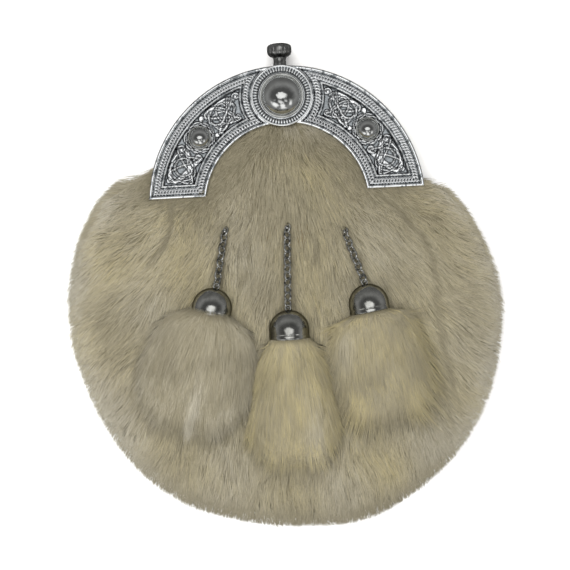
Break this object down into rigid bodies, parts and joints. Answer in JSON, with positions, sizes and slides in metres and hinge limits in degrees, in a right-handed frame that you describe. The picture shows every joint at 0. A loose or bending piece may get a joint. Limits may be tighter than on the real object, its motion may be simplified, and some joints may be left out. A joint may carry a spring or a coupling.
{
  "type": "sporran pouch",
  "caption": "Rounded fur dress sporran pouch with a half-ring cast cantle, polished domes, a press knob clasp, belt loops, and fur tassels on chains.",
  "frame": {"origin": "on the flat of the back that it lies on, under the middle of the pouch", "axes": "+Z out of the front, +Y towards the clasp knob, +X to the right as seen from the front"},
  "size_m": [0.221, 0.2462, 0.0616],
  "materials": {
    "back_leather": "grained, satin",
    "pouch_leather": "suede side of a hide",
    "cantle_chrome": "cast, plated, polished",
    "dome_chrome": "mirror polished",
    "clasp_steel": "dark nickel",
    "bell_chrome": "dark nickel, polished",
    "chain_steel": "dark nickel",
    "coat_fur": "soft deep fur, cream",
    "tassel_fur": "soft deep fur, cream"
  },
  "bodies": {
    "pouch": {"back_panel": "back_leather", "pouch_wall": "pouch_leather", "belt_loop_left": "back_leather", "belt_loop_right": "back_leather", "cantle": "cantle_chrome", "centre_dome": "dome_chrome", "stud_left": "dome_chrome", "stud_right": "dome_chrome", "clasp_block": "clasp_steel", "fur_coat": "coat_fur", "tassel_bell_left": "bell_chrome", "tassel_fur_left": "tassel_fur", "tassel_chain_left": "chain_steel", "tassel_bell_middle": "bell_chrome", "tassel_fur_middle": "tassel_fur", "tassel_chain_middle": "chain_steel", "tassel_bell_right": "bell_chrome", "tassel_fur_right": "tassel_fur", "tassel_chain_right": "chain_steel"},
    "knob": {"clasp_knob": "clasp_steel"}
  },
  "joints": [
    {"name": "knob_press", "type": "slide", "parent": "pouch", "child": "knob", "axis": [0, -1, 0], "range_m": [0, 0.003], "stiffness_N_per_m": 300}
  ]
}
